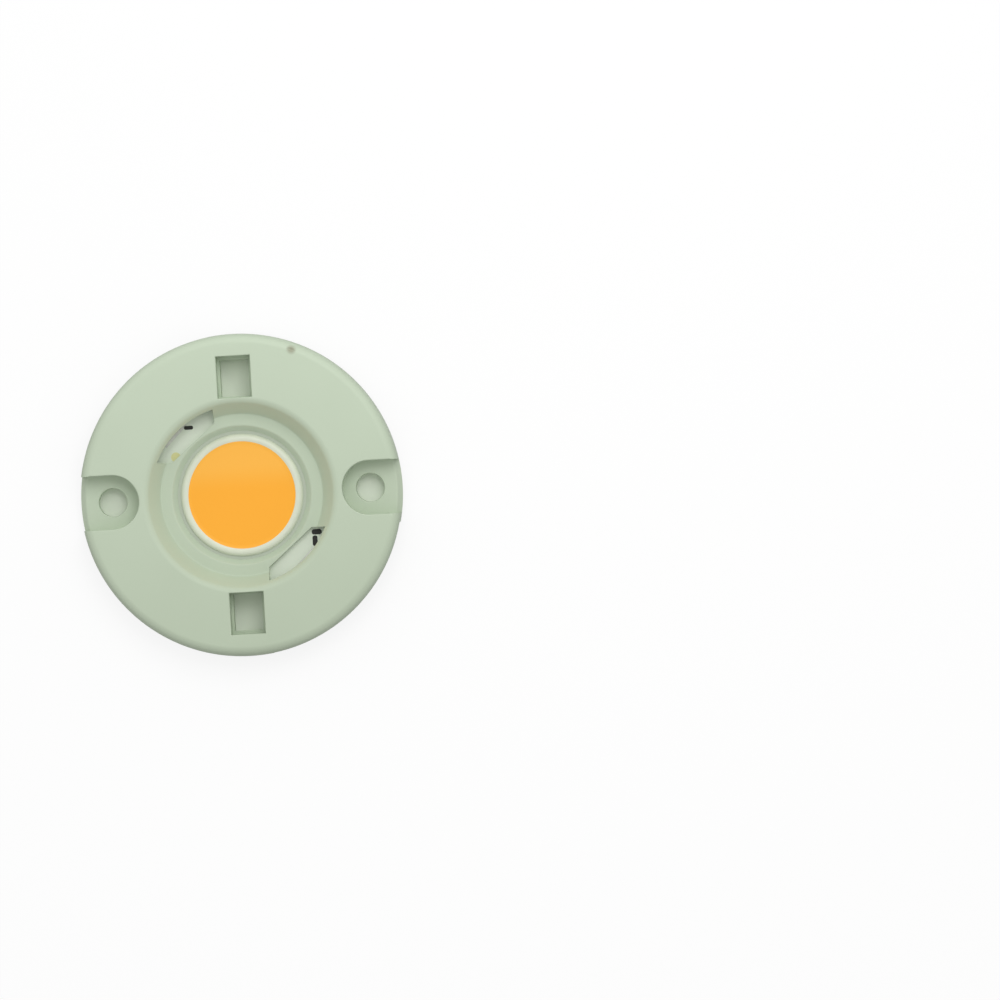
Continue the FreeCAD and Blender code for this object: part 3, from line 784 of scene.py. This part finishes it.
class LED_OT_marks(bpy.types.Operator):
    """Print the polarity marks on the board"""
    bl_idname = "led.marks"
    bl_label = "Polarity marks"

    def execute(self, context):
        sizes = context.scene.led_marks
        finishes = context.scene.led_finishes
        ink = plain_finish("black_ink", finishes.ink, darker(finishes.ink, 0.8),
                           patch=0.5 * MM, roughness=0.6)
        for name in ("minus", "plus_across", "plus_along"):
            x, y, width, height = getattr(sizes, name)
            mark = add_rectangle("mark_" + name, x - width / 2, y - height / 2,
                                 x + width / 2, y + height / 2)
            bpy.ops.mesh.bevel(offset=0.4 * min(width, height), segments=5, affect="VERTICES")
            pick_all()
            move_picked(0, 0, COAT_TOP)
            extrude_picked(0, 0, sizes.thickness)
            pick_all()
            bpy.ops.mesh.normals_make_consistent(inside=False)
            leave_edit_mode()
            hand_over(mark, ink)
        return {"FINISHED"}


class LED_OT_board(bpy.types.Operator):
    """Finish the ceramic board, its printed layers, the dies and the bond wires"""
    bl_idname = "led.board"
    bl_label = "Board and dies"

    def execute(self, context):
        finishes = context.scene.led_finishes
        ceramic = plain_finish("fired_alumina", finishes.ceramic, darker(finishes.ceramic, 0.97),
                               patch=5 * MM, roughness=0.5, ior=1.6, bump=(0.15 * MM, 0.004 * MM))
        silver = plain_finish("fired_silver", finishes.silver, darker(finishes.silver, 0.85),
                              patch=0.6 * MM, roughness=0.5, metallic=0.5,
                              bump=(0.08 * MM, 0.004 * MM))
        gilt = plain_finish("gilt_film", finishes.gilt, darker(finishes.gilt, 0.94),
                            patch=0.5 * MM, roughness=0.5)
        die = plain_finish("sapphire_die", finishes.die, darker(finishes.die, 0.7),
                           patch=0.4 * MM, roughness=0.2, ior=1.77)
        gold = plain_finish("gold_wire", finishes.gold, darker(finishes.gold, 0.85),
                            patch=0.4 * MM, roughness=0.25, metallic=1.0)
        finish_of = {
            "ceramic_board": ceramic,
            "glass_overcoat": glass_overcoat(finishes),
            "anode_track": silver,
            "cathode_track": silver,
            "tc_point": gilt,
            "die_string": die,
            "bond_wires": gold,
        }
        for name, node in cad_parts.items():
            for start, finish in finish_of.items():
                if name.startswith(start):
                    node.data.materials.clear()
                    node.data.materials.append(finish)
        return {"FINISHED"}


class LED_OT_stage(bpy.types.Operator):
    """Set up the floor, the light and the camera"""
    bl_idname = "led.stage"
    bl_label = "Stage"

    def execute(self, context):
        scene = context.scene
        sizes = scene.led_stage
        scene.view_settings.view_transform = "Standard"
        self.add_floor(sizes, scene.led_finishes)
        self.add_world(scene, sizes)
        self.add_key(scene, sizes)
        self.add_camera(scene, sizes)
        return {"FINISHED"}

    def add_floor(self, sizes, finishes):
        """A white sheet that keeps the shadow, with the paper that shows through the holes."""
        show_alone(None)
        bpy.ops.mesh.primitive_circle_add(vertices=64, radius=sizes.sheet_radius, fill_type="NGON")
        floor = bpy.context.object
        floor.name = "floor"
        material = bpy.data.materials.new("white_sheet")
        material.use_nodes = True
        tree = material.node_tree
        tree.nodes.clear()
        place = add_node(tree, "ShaderNodeTexCoord").outputs["Object"]
        reach = add_node(tree, "ShaderNodeVectorMath", {"operation": "LENGTH"}, {0: place})
        under = add_node(tree, "ShaderNodeMapRange", inputs={
            "Value": reach.outputs["Value"], "From Min": RIM - sizes.paper_end,
            "From Max": RIM - sizes.paper_start})
        seen = seen_rays(tree)
        tone = add_node(tree, "ShaderNodeMapRange", inputs={
            "Value": seen, "To Min": sizes.sheet_bounce, "To Max": sizes.sheet_tone})
        white = add_node(tree, "ShaderNodeBsdfDiffuse", inputs={"Color": tone.outputs[0]})
        glow = add_node(tree, "ShaderNodeEmission", inputs={"Strength": 1.0})
        lift = add_node(tree, "ShaderNodeMath", {"operation": "MULTIPLY"}, {
            0: seen, 1: sizes.sheet_lift})
        sheet = add_node(tree, "ShaderNodeMixShader", inputs={
            0: lift.outputs[0], 1: white.outputs[0], 2: glow.outputs[0]})
        paper = add_node(tree, "ShaderNodeBsdfDiffuse", inputs={"Color": opaque(finishes.paper)})
        both = add_node(tree, "ShaderNodeMixShader", inputs={
            0: under.outputs[0], 1: sheet.outputs[0], 2: paper.outputs[0]})
        add_node(tree, "ShaderNodeOutputMaterial", inputs={"Surface": both.outputs[0]})
        floor.data.materials.append(material)

    def add_world(self, scene, sizes):
        """Light from all round, brighter from +Y, and a white background."""
        world = bpy.data.worlds.new("studio")
        world.use_nodes = True
        tree = world.node_tree
        tree.nodes.clear()
        seen = seen_rays(tree)
        direction = add_node(tree, "ShaderNodeTexCoord").outputs["Generated"]
        parts = add_node(tree, "ShaderNodeSeparateXYZ", inputs={0: direction})
        fill = add_node(tree, "ShaderNodeMapRange", inputs={
            "Value": parts.outputs["Y"], "From Min": -1.0, "From Max": 1.0,
            "To Min": sizes.fill_level * (1 - sizes.fill_fall),
            "To Max": sizes.fill_level * (1 + sizes.fill_fall)})
        level = add_node(tree, "ShaderNodeMapRange", inputs={
            "Value": seen, "To Min": fill.outputs[0], "To Max": 1.0})
        light = add_node(tree, "ShaderNodeBackground", inputs={
            "Color": (1, 1, 1, 1), "Strength": level.outputs[0]})
        add_node(tree, "ShaderNodeOutputWorld", inputs={"Surface": light.outputs[0]})
        scene.world = world

    def add_key(self, scene, sizes):
        """A soft box towards the top of the picture. Its power lights a level white face as
        brightly as its share of a white sky would."""
        data = bpy.data.lights.new("soft_box", "AREA")
        data.size = sizes.key_size
        upward = math.sin(sizes.key_height)
        data.energy = sizes.key_level * (math.pi * sizes.key_distance) ** 2 / upward
        lamp = bpy.data.objects.new("soft_box", data)
        sideways = math.cos(sizes.key_height)
        direction = Vector((math.cos(sizes.key_turn) * sideways,
                            math.sin(sizes.key_turn) * sideways, upward))
        lamp.location = direction * sizes.key_distance
        lamp.rotation_euler = direction.to_track_quat("Z", "Y").to_euler()
        scene.collection.objects.link(lamp)

    def add_camera(self, scene, sizes):
        """A far camera, nearly overhead, aimed at the middle of the picture."""
        data = bpy.data.cameras.new("camera")
        data.sensor_width = 36
        data.lens = data.sensor_width * (sizes.camera_height - FACE) / sizes.picture_width
        camera = bpy.data.objects.new("camera", data)
        camera.location = (sizes.camera_across, sizes.camera_along, sizes.camera_height)
        middle = Vector((sizes.picture_across, sizes.picture_along, FACE))
        aim = Vector((0, 0, 1)).rotation_difference(camera.location - middle)
        turn = Quaternion((0, 0, 1), sizes.picture_turn)
        camera.rotation_euler = (aim @ turn).to_euler()
        scene.collection.objects.link(camera)
        scene.camera = camera


class LED_PT_panel(bpy.types.Panel):
    """Lists the steps that build the module"""
    bl_label = "LED module"
    bl_idname = "LED_PT_panel"
    bl_space_type = "VIEW_3D"
    bl_region_type = "UI"
    bl_category = "LED"

    def draw(self, context):
        for operator in OPERATORS:
            self.layout.operator(operator.bl_idname)


SETTINGS = {
    "led_holder": HolderSizes,
    "led_light_field": LightFieldSizes,
    "led_marks": MarkSizes,
    "led_finishes": Finishes,
    "led_stage": StageSizes,
}
OPERATORS = (LED_OT_holder, LED_OT_light_field, LED_OT_marks, LED_OT_board, LED_OT_stage)


def register():
    for kind in (*SETTINGS.values(), *OPERATORS, LED_PT_panel):
        bpy.utils.register_class(kind)
    for name, kind in SETTINGS.items():
        setattr(bpy.types.Scene, name, PointerProperty(type=kind))


def unregister():
    for name in SETTINGS:
        delattr(bpy.types.Scene, name)
    for kind in (LED_PT_panel, *OPERATORS, *SETTINGS.values()):
        bpy.utils.unregister_class(kind)


def main():
    register()
    bpy.ops.led.holder()
    bpy.ops.led.light_field()
    bpy.ops.led.marks()
    bpy.ops.led.board()
    bpy.ops.led.stage()


if __name__ == "__main__":
    main()
